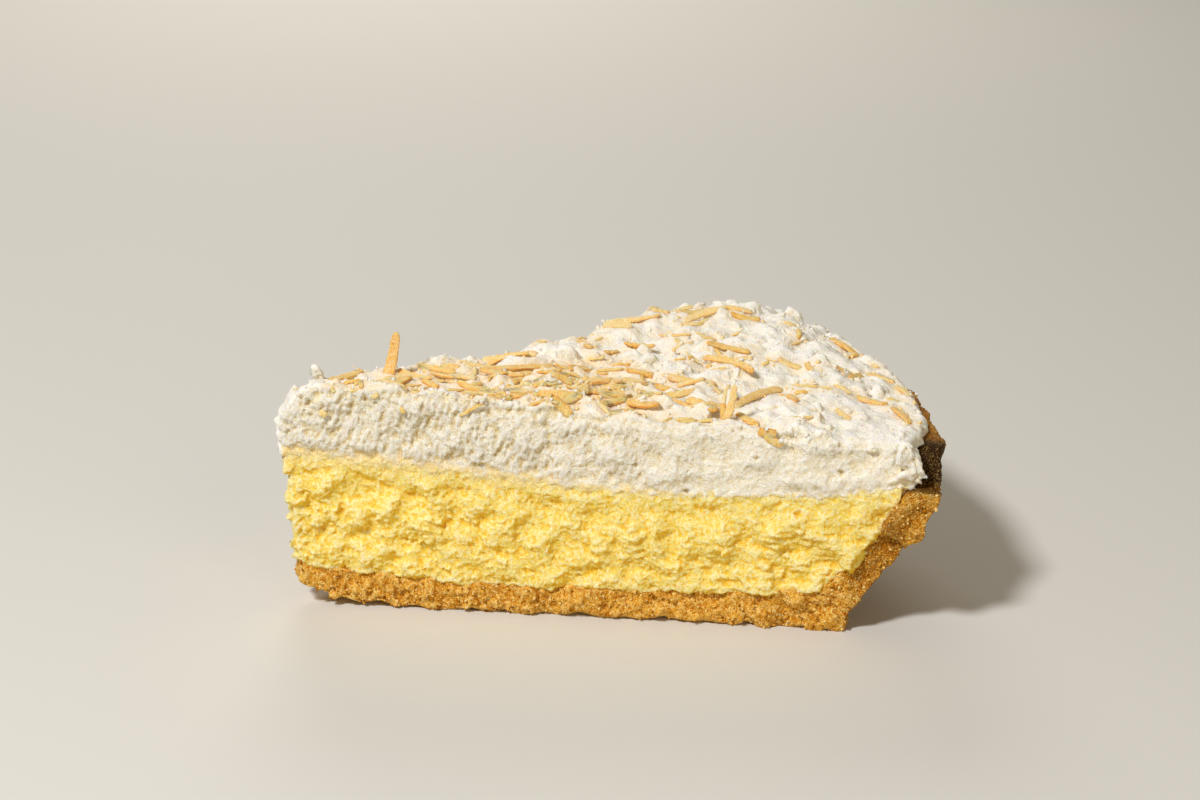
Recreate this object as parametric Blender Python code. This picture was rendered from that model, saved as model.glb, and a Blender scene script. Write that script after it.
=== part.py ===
"""One eighth of a nine-inch coconut cream pie, standing on its flat base.

Metres, +Z up. The origin is on the base, between the tip and the rim. The tip points along -X, the
crust is at +X, the cut face that is usually seen is at -Y and the other one at +Y. Three solids lie on
each other: the crumb crust, the custard and the whipped cream, which has the toasted coconut fused on.
"""

import math
import random

import bmesh
import bpy
import numpy as np
from mathutils import Euler, Matrix, Vector, noise

MM = 0.001

# The wedge in plan
HALF_ANGLE = math.radians(22.5)
AXIS_TO_ORIGIN = 58 * MM
TIP_HALF_WIDTH = 1.6 * MM
TIP_FADE = 14 * MM
GAP = 0.45 * MM

# The crust: its outside and its inside as (share of the way, radius, height) in mm, tip to rim
RIM_HEIGHT = 33.0
CRUST_OUTSIDE = (
    (0.00, 2.2, 0.0),
    (0.12, 16.0, 0.0),
    (0.30, 48.0, 0.0),
    (0.58, 96.5, 0.0),
    (0.66, 100.2, 4.6),
    (0.80, 108.6, 15.8),
    (0.91, 114.0, 25.2),
    (1.00, 115.0, RIM_HEIGHT - 0.8),
)
CRUST_INSIDE = (
    (0.00, 2.6, 6.6),
    (0.12, 18.0, 5.4),
    (0.30, 48.0, 5.2),
    (0.54, 87.0, 6.3),
    (0.66, 96.8, 9.4),
    (0.80, 103.6, 18.0),
    (0.91, 108.6, 25.8),
    (1.00, 110.4, RIM_HEIGHT),
)
TIP_LIFT = 3.2 * MM
TIP_LIFT_REACH = 13 * MM
BASE_EDGE_LIFT = 0.9 * MM
CHIP_ANGLE = math.radians(3.6)
CHIP_DEPTH = 6.5 * MM
CREAM_RETREAT_ANGLE = math.radians(11)

# The custard's top and the cream's top along the two cuts, as (radius, height) in mm
CUSTARD_TOP = (
    (0.0, 28.2),
    (20.0, 26.9),
    (45.0, 24.8),
    (68.0, 23.8),
    (88.0, 24.4),
    (102.0, 25.8),
    (109.0, 27.4),
)
CREAM_TOP_FRONT = (
    (0.0, 40.4),
    (10.0, 41.4),
    (40.0, 40.5),
    (66.0, 38.4),
    (80.0, 36.8),
    (94.0, 36.3),
    (106.0, 35.2),
    (113.0, 34.4),
)
CREAM_TOP_REAR = (
    (0.0, 40.4),
    (14.0, 40.4),
    (36.0, 38.8),
    (64.0, 38.0),
    (82.0, 40.0),
    (98.0, 39.9),
    (107.0, 37.2),
    (113.0, 34.8),
)
CREAM_RETREAT = 2.4
CREAM_EDGE_RADIUS = 113.2
CREAM_EDGE_TOP = 35.0

# Faces along the slice, through its height, and from cut to cut
CRUST_FACES = (40, 3, 11)
CUSTARD_FACES = (42, 8, 3)
CREAM_FACES = (38, 5, 18)

# Toasted coconut that is placed by hand, the largest first, as (radius, degrees from the middle,
# heading in degrees, length) in mm
PLACED_SHREDS = (
    (43, 3, 9, 15),
    (81, -3, -62, 12.5),
    (38, -15, -42, 12),
    (105, -13, -76, 12),
    (84, -12, 34, 11),
    (107, 4, -82, 9.5),
    (42, -7, 5, 9.5),
    (54, 0, 37, 9),
    (47, 16, -32, 9),
    (77, 20, -50, 9),
    (61, 13, -88, 8),
    (75, 10, -84, 8),
    (109, -5, -70, 8),
    (82, -15, 22, 8),
    (27, 12, 30, 7.5),
    (36, 14, -28, 8),
    (71, 18, -60, 7),
    (69, 9, -48, 7),
    (94, -2, -45, 7),
    (61, -16, -22, 7),
    (73, -18, -58, 7),
    (24, 3, -60, 7),
    (58, -10, -80, 6),
    (104, -4, -72, 6),
    (89, -12, -80, 6),
    (85, 2, -45, 5.5),
    (65, -19, -30, 5.5),
    (54, -14, -28, 5.5),
    (62, 3, -28, 4.5),
)
# Shreds that hang over the front edge or stand up, as (radius, degrees, heading, climb, length)
RAISED_SHREDS = (
    (18.5, 4, 20, 76, 10),
    (79, -20, 110, 40, 7),
    (51, -20.5, -80, -42, 7),
    (82, -20, -84, -50, 6),
    (88, -20.5, -80, -48, 6),
)
# The rest, in patches, as (radius, degrees, spread along, spread across, count)
SHRED_PATCHES = (
    (28, -8, 12, 4, 8),
    (48, -12, 12, 7, 17),
    (66, -12, 12, 8, 12),
    (90, 4, 12, 18, 7),
)
SHRED_STEPS = 3
SHRED_LENGTH = (5.0 * MM, 9.0 * MM)
SHRED_WIDTH = (1.4 * MM, 2.0 * MM)
SHRED_THICKNESS = 1.2 * MM
SHRED_SEED = 7

def smooth(points, x):
    """Height at x of a curve through (x, y) points that never passes above or below its points."""
    xs = [p[0] for p in points]
    ys = [p[1] for p in points]
    last = len(xs) - 2
    slopes = [(ys[i + 1] - ys[i]) / (xs[i + 1] - xs[i]) for i in range(last + 1)]

    def tangent(i):
        if i == 0 or i > last:
            return slopes[min(i, last)]
        before, after = slopes[i - 1], slopes[i]
        return 2 * before * after / (before + after) if before * after > 0 else 0.0

    x = min(max(x, xs[0]), xs[-1])
    i = min(sum(x >= k for k in xs[1:]), last)
    step = xs[i + 1] - xs[i]
    t = (x - xs[i]) / step
    bend_in = (t**3 - 2 * t**2 + t) * tangent(i) * step
    bend_out = (t**3 - t**2) * tangent(i + 1) * step
    ease = t * t * (3 - 2 * t)
    return ys[i] + (ys[i + 1] - ys[i]) * ease + bend_in + bend_out


def along(line, t):
    """Radius and height in metres, as a vector, at share t of a line of (share, radius, height)."""
    radius = smooth([(p[0], p[1]) for p in line], t)
    height = smooth([(p[0], p[2]) for p in line], t)
    return Vector((radius * MM, height * MM))


def ease(t):
    """0 to 1 and level at both ends."""
    t = min(max(t, 0.0), 1.0)
    return t * t * (3 - 2 * t)


def patch(u, v, low, high, inner, outer):
    """A point of the patch between four lines: low and high run with u, inner and outer with v."""
    across = low(u).lerp(high(u), v) + inner(v).lerp(outer(v), u)
    corners = low(0).lerp(low(1), u).lerp(high(0).lerp(high(1), u), v)
    return across - corners


def straight(start, end):
    return lambda t: start.lerp(end, t)


def in_plan(radius, height, w):
    """The point at a radius and height: w is -1 on the front cut and 1 on the rear one."""
    turn = w * HALF_ANGLE
    blunt = w * TIP_HALF_WIDTH * math.exp(-max(radius, 0.0) / TIP_FADE)
    x = radius * math.cos(turn) - AXIS_TO_ORIGIN
    return Vector((x, radius * math.sin(turn) + blunt, height))


def outward(w):
    """Away from the slice, square to the cut that w is near."""
    turn = w * HALF_ANGLE
    return Vector((-math.sin(turn), math.cos(turn), 0)) * (1 if w > 0 else -1)


def from_cut(point, w, radius, shift, across):
    """The point of a cut face moved out of it by shift, or into it by less than one step across."""
    step = (radius + TIP_HALF_WIDTH) * 2 * HALF_ANGLE / across
    return point + outward(w) * max(shift, -0.45 * step)


def crags(point, size, depth):
    """Broken, uneven relief up to about that depth, with lumps of about that size."""
    return depth * noise.fractal(point / size, 1.0, 2.0, 2)


def billow(point, size):
    """Round lumps with creases between them, from 0 in a crease to about 1 on a lump."""
    return 1 - min(noise.voronoi(point / size)[0][0] * 1.5, 1.0)


def block(name, counts, shape):
    """A box with a grid of faces on each side, its points moved to shape(u, v, w)."""
    mesh = bmesh.new()
    bmesh.ops.create_cube(mesh, size=1)
    for axis, cells in ((0, counts[0]), (2, counts[1]), (1, counts[2])):
        edges = [e for e in mesh.edges if abs((e.verts[0].co - e.verts[1].co)[axis]) > 0.5]
        bmesh.ops.subdivide_edges(mesh, edges=edges, cuts=cells - 1, use_grid_fill=True)
    for vert in mesh.verts:
        u, w, v = (c + 0.5 for c in vert.co)
        vert.co = shape(u, v, 2 * w - 1)
    data = bpy.data.meshes.new(name)
    mesh.to_mesh(data)
    mesh.free()
    return bpy.data.objects.new(name, data)


def at_cut(w):
    """1 on a cut face and 0 a little inside it."""
    return 1.0 if abs(w) > 0.999 else 0.0


def near_front(w, reach, start=0.0):
    """1 at the front cut and 0 from that angle behind it."""
    return 1 - ease(((w + 1) * HALF_ANGLE / reach - start) / (1 - start))


def crust_point(u, v, w):
    low, high = along(CRUST_OUTSIDE, 0), along(CRUST_INSIDE, 0)
    rim_low, rim_high = along(CRUST_OUTSIDE, 1), along(CRUST_INSIDE, 1)
    place = patch(
        u,
        v,
        lambda t: along(CRUST_OUTSIDE, t),
        lambda t: along(CRUST_INSIDE, t),
        straight(low, high),
        straight(rim_low, rim_high),
    )
    radius, height = place
    chip_from = (RIM_HEIGHT * MM) - CHIP_DEPTH
    if height > chip_from:
        height -= (height - chip_from) * 0.92 * near_front(w, CHIP_ANGLE, 0.4)
    on_bottom = v < 0.01
    lifted = TIP_LIFT * (1 - ease(radius / TIP_LIFT_REACH)) * (1 - v)
    if on_bottom and at_cut(w) and radius < 97 * MM:
        rough = 1 + 0.8 * noise.noise(Vector((radius / (6 * MM), w, 3)))
        lifted = max(lifted, BASE_EDGE_LIFT * rough)
    point = in_plan(radius, height + lifted, w)
    if at_cut(w):
        flake = ease((height - 17 * MM) / (3 * MM)) * (w < 0)
        shift = crags(point, 5 * MM, 1.5 * MM) + (1.4 * flake - 0.4) * MM
        point = from_cut(point, w, radius, shift, CRUST_FACES[2])
    outside = on_bottom and u > 0.6
    if outside:
        away = Vector((point.x + AXIS_TO_ORIGIN, point.y, 0)).normalized()
        point += away * crags(point, 5 * MM, 1.4 * MM)
    return point


def custard_height(radius):
    return smooth(CUSTARD_TOP, radius / MM) * MM


def custard_point(u, v, w):
    lift = Vector((0, GAP))
    floor_share = 0.585
    inside = Vector((-GAP, GAP * 0.5))
    tip_low = along(CRUST_INSIDE, 0) + lift
    tip_high = Vector((0.6 * MM, custard_height(0)))
    foot = along(CRUST_INSIDE, floor_share) + lift + inside * 0.5
    wall_end = 0.925
    top_end = along(CRUST_INSIDE, wall_end) + inside
    place = patch(
        u,
        v,
        lambda t: along(CRUST_INSIDE, t * floor_share) + lift + inside * 0.5 * t,
        lambda t: Vector(
            (
                tip_high.x + (top_end.x - tip_high.x) * t,
                tip_high.y if t == 0 else custard_height(tip_high.x + (top_end.x - tip_high.x) * t),
            )
        ),
        straight(tip_low, tip_high),
        lambda t: along(CRUST_INSIDE, floor_share + (wall_end - floor_share) * t)
        + inside * (0.5 + 0.5 * t)
        + lift * (1 - t),
    )
    point = in_plan(place.x, place.y, w)
    if at_cut(w):
        middle = 1 - abs(2 * v - 1) ** 3
        clumps = 0.9 * billow(point, 8 * MM) * MM + crags(point, 4.5 * MM, 1.6 * MM)
        shift = clumps * (0.35 + 0.65 * middle) - 0.5 * MM
        point = from_cut(point, w, place.x, shift, CUSTARD_FACES[2])
    return point


def cream_height(radius, w):
    """The cream's top before its lumps: between the front line and the rear line."""
    share = ease((w + 1) / 2)
    front = smooth(CREAM_TOP_FRONT, radius / MM)
    rear = smooth(CREAM_TOP_REAR, radius / MM)
    return (front + (rear - front) * share) * MM


def cream_edge(w):
    """The radius of the cream's outer edge, which draws back near the front cut."""
    return CREAM_EDGE_RADIUS - CREAM_RETREAT * near_front(w, CREAM_RETREAT_ANGLE)


def cream_low(t, w):
    """The cream's underside: over the custard, up the inside of the crust and out over its rim."""
    custard_end = 107.2
    turn_up, turn_out = 0.86, 0.93
    if t <= turn_up:
        radius = custard_end * t / turn_up * MM
        return Vector((radius, custard_height(radius) + GAP))
    start = Vector((custard_end * MM, custard_height(custard_end * MM) + GAP))
    wall = Vector((109.2 * MM, RIM_HEIGHT * MM + GAP))
    if t <= turn_out:
        return start.lerp(wall, (t - turn_up) / (turn_out - turn_up))
    edge = Vector((cream_edge(w) * MM, wall.y))
    return wall.lerp(edge, (t - turn_out) / (1 - turn_out))


def cream_point(u, v, w):
    tip_low, edge_low = cream_low(0, w), cream_low(1, w)
    tip_high = Vector((3.0 * MM, cream_height(0, w)))
    edge_high = Vector(((cream_edge(w) - 0.8) * MM, CREAM_EDGE_TOP * MM))

    def high(t):
        radius = tip_high.x + (edge_high.x - tip_high.x) * t
        settle = ease((t - 0.93) / 0.07)
        return Vector((radius, cream_height(radius, w) * (1 - settle) + edge_high.y * settle))

    def tip(t):
        bulge = Vector((-2.2 * MM * math.sin(math.pi * t**1.2), 0))
        return tip_low.lerp(tip_high, t) + bulge

    radius, height = patch(u, v, lambda t: cream_low(t, w), high, tip, straight(edge_low, edge_high))
    point = in_plan(radius, height, w)
    lumps = billow(point, 10 * MM) * 2.4 + billow(point + Vector((1, 0, 0)), 5.5 * MM) * 1.3
    inner = ease((cream_edge(w) - 1 - radius / MM) / 12)
    point.z += (lumps - 1.5 - at_cut(w)) * (0.2 + 0.8 * inner) * v**2 * MM
    if at_cut(w):
        depth = crags(point, 6 * MM, 1.3 * MM) * min(1.0, v * 4 + 0.2)
        point = from_cut(point, w, radius, depth - 0.6 * MM * (v > 0.999), CREAM_FACES[2])
    return point


def shred_mesh(name, rng, length, width, bow):
    """One shred of coconut: a thin bar that tapers, twists a little and is bowed by up to that share."""
    mesh = bmesh.new()
    bmesh.ops.create_cube(mesh, size=1)
    edges = [e for e in mesh.edges if abs((e.verts[0].co - e.verts[1].co).x) > 0.5]
    bmesh.ops.subdivide_edges(mesh, edges=edges, cuts=SHRED_STEPS - 1, use_grid_fill=True)
    bend, droop, twist = rng.uniform(-bow, bow), rng.uniform(-0.05, 0.12), rng.uniform(-0.5, 0.5)
    for vert in mesh.verts:
        t = vert.co.x * 2
        taper = 1 - 0.55 * abs(t) ** 3
        side = Vector((0, vert.co.y * width * taper, vert.co.z * SHRED_THICKNESS * taper))
        side.rotate(Euler((twist * t, 0, 0)))
        sway = Vector((t * length / 2, bend * length * (1 - t * t), -droop * length * t * t))
        vert.co = side + sway
    data = bpy.data.meshes.new(name)
    mesh.to_mesh(data)
    mesh.free()
    return data


def strewn_shreds(rng):
    """The seeded shreds, patch by patch, as (radius, degrees, heading, climb, length)."""
    strewn = []
    for radius, degrees, spread_along, spread_across, count in SHRED_PATCHES:
        for _ in range(count):
            r = radius + rng.uniform(-1, 1) * spread_along
            turn = degrees + math.degrees(rng.uniform(-1, 1) * spread_across / radius)
            limit = math.degrees(HALF_ANGLE) - math.degrees(2.0 / r)
            turn = min(max(turn, -limit), limit)
            length = rng.uniform(*SHRED_LENGTH) / MM
            strewn.append((r, turn, rng.gauss(-20, 45), rng.uniform(-8, 8), length))
    return strewn


def make_shreds(cream):
    """All the shreds as separate objects, resting in the cream's surface."""
    rng = random.Random(SHRED_SEED)
    placed = [(r, turn, heading, rng.uniform(-5, 5), length) for r, turn, heading, length in PLACED_SHREDS]
    shreds = []
    for r, turn, heading, climb, length in list(RAISED_SHREDS) + placed + strewn_shreds(rng):
        name = f"shred_{len(shreds):03d}"
        bow = 0.06 if abs(climb) > 30 else 0.22
        mesh = shred_mesh(name, rng, length * MM, rng.uniform(*SHRED_WIDTH), bow)
        shred = bpy.data.objects.new(name, mesh)
        at = on_cream(cream, r * MM, math.radians(turn))
        rise = max(math.sin(math.radians(climb)), -0.12) * length * MM * 0.36
        roll = math.degrees(rng.uniform(-0.4, 0.4))
        turned = Euler((math.radians(roll), -math.radians(climb), math.radians(heading)))
        shred.matrix_world = Matrix.Translation(at + Vector((0, 0, rise + 0.2 * MM))) @ turned.to_matrix().to_4x4()
        shreds.append(shred)
    return shreds


def on_cream(cream, radius, angle):
    """The point of the cream's top at that radius and angle."""
    x, y = radius * math.cos(angle) - AXIS_TO_ORIGIN, radius * math.sin(angle)
    hit, place, _, _ = cream.ray_cast(Vector((x, y, 0.1)), Vector((0, 0, -1)))
    return place if hit else Vector((x, y, cream_height(radius, angle / HALF_ANGLE)))


def apply_modifiers(obj):
    """The object's evaluated mesh becomes its own."""
    evaluated = obj.evaluated_get(bpy.context.evaluated_depsgraph_get())
    mesh = bpy.data.meshes.new_from_object(evaluated)
    obj.modifiers.clear()
    obj.vertex_groups.clear()
    old, obj.data = obj.data, mesh
    bpy.data.meshes.remove(old)
    mesh.name = obj.name


def keep_largest_body(obj):
    """Drops the loose scraps and fills the sealed hollows that a union leaves."""
    mesh = bmesh.new()
    mesh.from_mesh(obj.data)
    left, bodies = set(mesh.faces), []
    while left:
        body, edge = [], [left.pop()]
        while edge:
            face = edge.pop()
            body.append(face)
            for near in (f for e in face.edges for f in e.link_faces):
                if near in left:
                    left.discard(near)
                    edge.append(near)
        bodies.append(body)
    largest = max(bodies, key=len)
    scraps = [f for body in bodies if body is not largest for f in body]
    bmesh.ops.delete(mesh, geom=scraps, context="FACES")
    mesh.to_mesh(obj.data)
    mesh.free()


def fuse(obj, pieces):
    """Joins the pieces to the object with one union, and removes them."""
    toppings = bpy.data.collections.new("toppings")
    bpy.context.scene.collection.children.link(toppings)
    for piece in pieces:
        toppings.objects.link(piece)
    union = obj.modifiers.new("toppings", "BOOLEAN")
    union.operation = "UNION"
    union.operand_type = "COLLECTION"
    union.collection = toppings
    union.solver = "EXACT"
    bpy.context.view_layer.update()
    apply_modifiers(obj)
    for piece in pieces:
        bpy.data.objects.remove(piece)
    bpy.data.collections.remove(toppings)
    keep_largest_body(obj)


def material(name, colour, roughness):
    made = bpy.data.materials.new(name)
    made.use_nodes = True
    shader = made.node_tree.nodes["Principled BSDF"]
    shader.inputs["Base Color"].default_value = (*colour, 1)
    shader.inputs["Roughness"].default_value = roughness
    shader.inputs["Metallic"].default_value = 0
    return made


def finish(obj, made):
    obj.data.materials.append(made)
    obj.data.shade_smooth()
    obj.data.set_sharp_from_angle(angle=math.radians(50))


def main():
    for obj in list(bpy.data.objects):
        bpy.data.objects.remove(obj)
    pie = bpy.data.collections.new("coconut_cream_pie_slice")
    bpy.context.scene.collection.children.link(pie)

    crust = block("crust", CRUST_FACES, crust_point)
    custard = block("custard", CUSTARD_FACES, custard_point)
    cream = block("whipped_cream", CREAM_FACES, cream_point)
    for obj in (crust, custard, cream):
        pie.objects.link(obj)
    bpy.context.view_layer.update()

    fuse(cream, make_shreds(cream))

    finish(crust, material("crust", (0.50, 0.25, 0.07), 0.85))
    finish(custard, material("custard", (0.90, 0.66, 0.18), 0.6))
    finish(cream, material("cream", (0.90, 0.86, 0.76), 0.6))


main()
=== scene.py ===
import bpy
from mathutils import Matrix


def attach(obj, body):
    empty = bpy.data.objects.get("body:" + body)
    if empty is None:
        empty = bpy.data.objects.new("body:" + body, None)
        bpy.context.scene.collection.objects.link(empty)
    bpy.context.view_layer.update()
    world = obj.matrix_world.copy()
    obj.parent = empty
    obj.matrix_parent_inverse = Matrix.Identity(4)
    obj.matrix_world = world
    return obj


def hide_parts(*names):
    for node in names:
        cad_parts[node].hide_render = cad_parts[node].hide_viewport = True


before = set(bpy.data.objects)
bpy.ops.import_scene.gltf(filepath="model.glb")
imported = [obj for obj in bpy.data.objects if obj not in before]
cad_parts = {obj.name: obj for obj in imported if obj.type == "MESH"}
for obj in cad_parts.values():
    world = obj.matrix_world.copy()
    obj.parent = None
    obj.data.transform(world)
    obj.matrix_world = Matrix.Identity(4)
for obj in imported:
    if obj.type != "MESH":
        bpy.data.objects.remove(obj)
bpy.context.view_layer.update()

import random
from itertools import product
from math import atan, cos, degrees, exp, pi, radians, sin, sqrt

import bmesh
import bpy
import numpy as np
from mathutils import Euler, Matrix, Vector, noise
from mathutils.kdtree import KDTree

MM = 0.001

# The wedge in plan, as in the part
HALF_ANGLE = radians(22.5)
AXIS_TO_ORIGIN = 58 * MM
TIP_HALF_WIDTH = 1.6 * MM
TIP_FADE = 14 * MM
OVERLAP = 0.9 * MM
CREAM_OVERLAP = 1.7 * MM

# The crust: its outside and its inside as (share of the way, radius, height) in mm, tip to rim
RIM_HEIGHT = 33.0
CRUST_OUTSIDE = (
    (0, 2.2, 0), (0.12, 16, 0), (0.3, 48, 0), (0.58, 96.5, 0), (0.66, 100.2, 4.6), (0.8, 108.6, 15.8),
    (0.91, 114, 25.2), (1, 115, RIM_HEIGHT - 0.8),
)
CRUST_INSIDE = (
    (0, 2.6, 6.6), (0.12, 18, 5.4), (0.3, 48, 5.2), (0.54, 87, 6.3), (0.66, 96.8, 9.4), (0.8, 103.6, 18),
    (0.91, 108.6, 25.8), (1, 110.4, RIM_HEIGHT),
)
TIP_LIFT = 3.2 * MM
TIP_LIFT_REACH = 13 * MM
BASE_EDGE_LIFT = 0.9 * MM
CHIP_ANGLE = radians(3.6)
CHIP_DEPTH = 6.5 * MM
CREAM_RETREAT_ANGLE = radians(11)

# The custard's top and the cream's top along the two cuts, as (radius, height) in mm
CUSTARD_TOP = (
    (0, 28.2), (20, 26.9), (45, 24.8), (68, 23.8), (88, 24.4), (102, 25.8), (109, 27.4),
)
CREAM_TOP_FRONT = (
    (0, 40.4), (10, 41.4), (40, 40.5), (66, 38.4), (80, 36.8), (94, 36.3), (106, 35.2), (113, 34.4),
)
CREAM_TOP_REAR = (
    (0, 40.4), (14, 40.4), (36, 38.8), (64, 38), (82, 40), (98, 39.9), (107, 37.2), (113, 34.8),
)
CREAM_RETREAT = 2.4
CREAM_EDGE_RADIUS = 113.2
CREAM_EDGE_TOP = 35.0

# Steps across the part's own faces, which limit how far its relief goes in
CRUST_ACROSS, CUSTARD_ACROSS, CREAM_ACROSS = 11, 3, 18

# Toasted coconut placed one by one, as (radius, degrees from the middle, heading, length, width,
# how toasted) in mm
PLACED_SHREDS = (
    (13, 19, 40, 9.5, 1.3, 0.6), (28, 15.5, -85, 5, 1.3, 0.4), (32, 10, -20, 3.5, 1.4, 0.6),
    (21, -9, 51, 6, 1.6, 1), (26, -8, -54, 3.5, 1.3, 0.9), (44, 6.5, 10, 15, 1.3, 0.8),
    (46, 16, -23, 10.5, 1.6, 0.1), (45, 14.5, -20, 8, 0.9, 0.5), (37, -12, -38, 14, 1.4, 0.8),
    (35, -16, -41, 7.5, 1.2, 0.7), (45, -6.5, 23, 4, 1.2, 0.6), (49, -9.5, -15, 4, 1.3, 0.7),
    (55, 3.5, 38, 7, 1.5, 0.6), (62, 16, -91, 9, 1.4, 0.5), (54, -14, -5, 5.5, 1.2, 0.7),
    (57, -17.5, 31, 4, 1.2, 0.8), (71, 18.5, -43, 6, 1.9, 0.1), (77, 20, -33, 9.5, 1.5, 0.3),
    (82, 19.5, -24, 3.5, 1.2, 0.3), (70, 10.5, -31, 6, 1.4, 0.9), (64, 10, 30, 4, 1.1, 0.8),
    (77, 11, -79, 10, 0.8, 0.3), (79, 11, -41, 4, 1, 0.4), (63, 4.5, -56, 4.5, 1.3, 0.7),
    (65, -0.5, -30, 5, 1.4, 0.9), (59, -5.5, -88, 8, 1.2, 0.3), (65, -7.5, 31, 6.5, 1.4, 0.2),
    (64, -12.5, -14, 3, 1.1, 0.2), (63, -18, -35, 6, 1.9, 1), (69, -9, -86, 4, 1.1, 0.5),
    (81, -2, -64, 13, 1.5, 0.7), (86, 2, -41, 3.5, 1.2, 0.1), (73, -17, -62, 7, 1.8, 0.9),
    (84, -10.5, 35, 14.5, 1.5, 0.4), (81, -18.5, -59, 5, 1.4, 0.9), (89, -11.5, -94, 8, 1.4, 0.7),
    (109, 6, -69, 8.5, 1.4, 0.7), (104, -4, 47, 6, 1.4, 0.7), (109, -3.5, -47, 6, 1.2, 0.2),
    (111, -7, -88, 7, 1.2, 0.2), (104, -10.5, -56, 7, 1.4, 0.6), (108, -14.5, -92, 9, 1.4, 0.7),
    (98, -14.5, -68, 4, 1.1, 0.5), (96, -3, -81, 3.5, 1.1, 0.7), (93, -1, -45, 5, 1.3, 0.2),
)
# Shreds that stand up, as (radius, degrees, heading, climb, length, width, how toasted)
STANDING_SHREDS = (
    (21.8, 15, -16, 79, 8.8, 1.9, 0.6), (78, -19.3, -16, 78, 7, 1.3, 0.2),
    (77, -18.8, 160, 82, 3.2, 1.2, 0.8),
)
# Shreds on the front cut, as (radius, height, climb, length, width, how toasted)
FACE_SHREDS = (
    (49.2, 38.9, -45, 4.6, 1.8, 0.9), (84.6, 36, -8, 3.2, 1.7, 1), (85.8, 34.8, -28, 3.6, 1.4, 0.5),
    (33.6, 37.9, 32, 5, 0.6, 0.8), (7.5, 36.4, -30, 1.6, 1.3, 0.3), (21.6, 37.6, -60, 1.2, 0.9, 0.6),
    (12.8, 40.2, 10, 1.4, 1, 0.3), (9.1, 40.4, -70, 1.2, 0.8, 0.4), (16.5, 39.6, 30, 1.6, 0.9, 0.4),
)
# The rest, in patches, as (radius, degrees, spread along, spread across, count)
SHRED_PATCHES = (
    (30, 2, 12, 5, 7), (50, -10, 12, 8, 13), (64, -8, 10, 9, 9), (88, 12, 14, 14, 6),
)
SHRED_LENGTH = (5.0, 9.5)
SHRED_WIDTH = (1.1, 1.6)
SHRED_THICKNESS = 0.7 * MM
SHRED_SEED = 7
# How far each shred's heading strays from the general one, in degrees
SHRED_STRAY, CHIP_STRAY = 28, 38

# Small pieces of coconut between them, as (radius, degrees, spread along, spread across, count)
CHIP_PATCHES = (
    (30, -4, 18, 7, 34), (46, -8, 15, 11, 44), (63, -10, 14, 12, 40), (84, -8, 16, 17, 14),
    (72, 12, 20, 12, 18), (104, 0, 8, 28, 8),
)
CHIP_LENGTH = (1.6, 5.0)
CHIP_WIDTH = (0.5, 1.0)

# Small pits in the front cut, as (radius, height, size) in mm
PITS = (
    (71.1, 24.6, 0.9), (97.6, 29.3, 0.9), (90.3, 21.4, 1), (62, 29, 0.7), (83, 31.5, 0.6),
    (6.8, 14.4, 0.9),
)
# Curds of cream that hang over the crust at the rim, as (radius, height, size) in mm
RIM_CURDS = (
    (109.6, 32.4, 2.6), (110, 30.6, 2.4), (111.4, 30.4, 1.4), (109, 29, 2.2), (108.2, 27.4, 1.7),
    (107.8, 26, 1.2), (106.4, 27.8, 1.8), (111.8, 31.8, 0.8), (112, 29.6, 0.7), (110.6, 28.8, 0.8),
    (111.2, 28.2, 0.5), (109.6, 27.2, 0.7), (108.8, 25.6, 0.6), (109.2, 24.6, 0.4), (110.4, 27, 0.4),
)

# A strand of cream that stands near the tip, as (radius, degrees, height, reach, lean, thickness) in mm
CREAM_STRAND = (7.2, 5.0, 40.4, 2.3, -1.0, 0.55)

# Lumps of custard that stick out at the tip, as (radius, sideways, height, size) in mm
TIP_LUMPS = (
    (1, -1, 26.2, 1.8), (1.6, -1.1, 23.4, 1.5), (0.9, -1.2, 20.4, 1.3), (1.9, 0.5, 17.6, 1.4),
    (2, -1.2, 15, 1.4), (1.9, -1, 11.6, 1.5), (2.2, 0.8, 10.6, 1.4), (1.7, -0.8, 8.8, 1.1),
)
# Chunks of crust that stand out of the front cut near its foot, as (radius, height, size) in mm
CRUST_CHUNKS = (
    (97.4, 2, 2.4), (93.2, 1.3, 2), (84.6, 1.5, 2.3), (79.8, 1.2, 1.6), (66.2, 1.4, 1.5),
    (50.4, 1.3, 1.7), (38, 1.6, 1.4), (90.5, 5.4, 1.8),
)

# How fine each surface is, how many triangles each piece keeps, and how little of the thinning falls
# on points that show
VOXEL = {"crust": 0.30 * MM, "custard": 0.26 * MM, "cream": 0.29 * MM}
MOST_TRIANGLES = 185_000
SHOWN_WEIGHT, SHOWN_FACTOR = 0.02, 0.00002
# Cells along, up and across each solid before it is made even
CELLS = {"crust": (120, 8, 60), "custard": (110, 22, 12), "cream": (130, 14, 70)}

# Loose crumbs, as (how many, least and greatest size in mm)
CRUST_CRUMBS = (3600, (0.16, 0.4))
CREAM_CRUMBS = (450, (0.2, 0.5))
CREAM_DABS = (60, (0.25, 0.6))
COCONUT_CRUMBS = (700, (0.14, 0.5))

# Lumps laid on each cut, as (how many, sizes in mm, share sunk in, radii in mm), and how many
# places are tried for lumps on the cream's top
CRUST_LUMPS = (260, (0.5, 1.3), 0.35, (5, 96))
CUSTARD_LUMPS = (340, (0.6, 1.5), 0.5, (1, 92))
CREAM_LUMPS = (110, (0.4, 1.0), 0.7, (1, 110))
TOP_LUMPS = 1500

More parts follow.
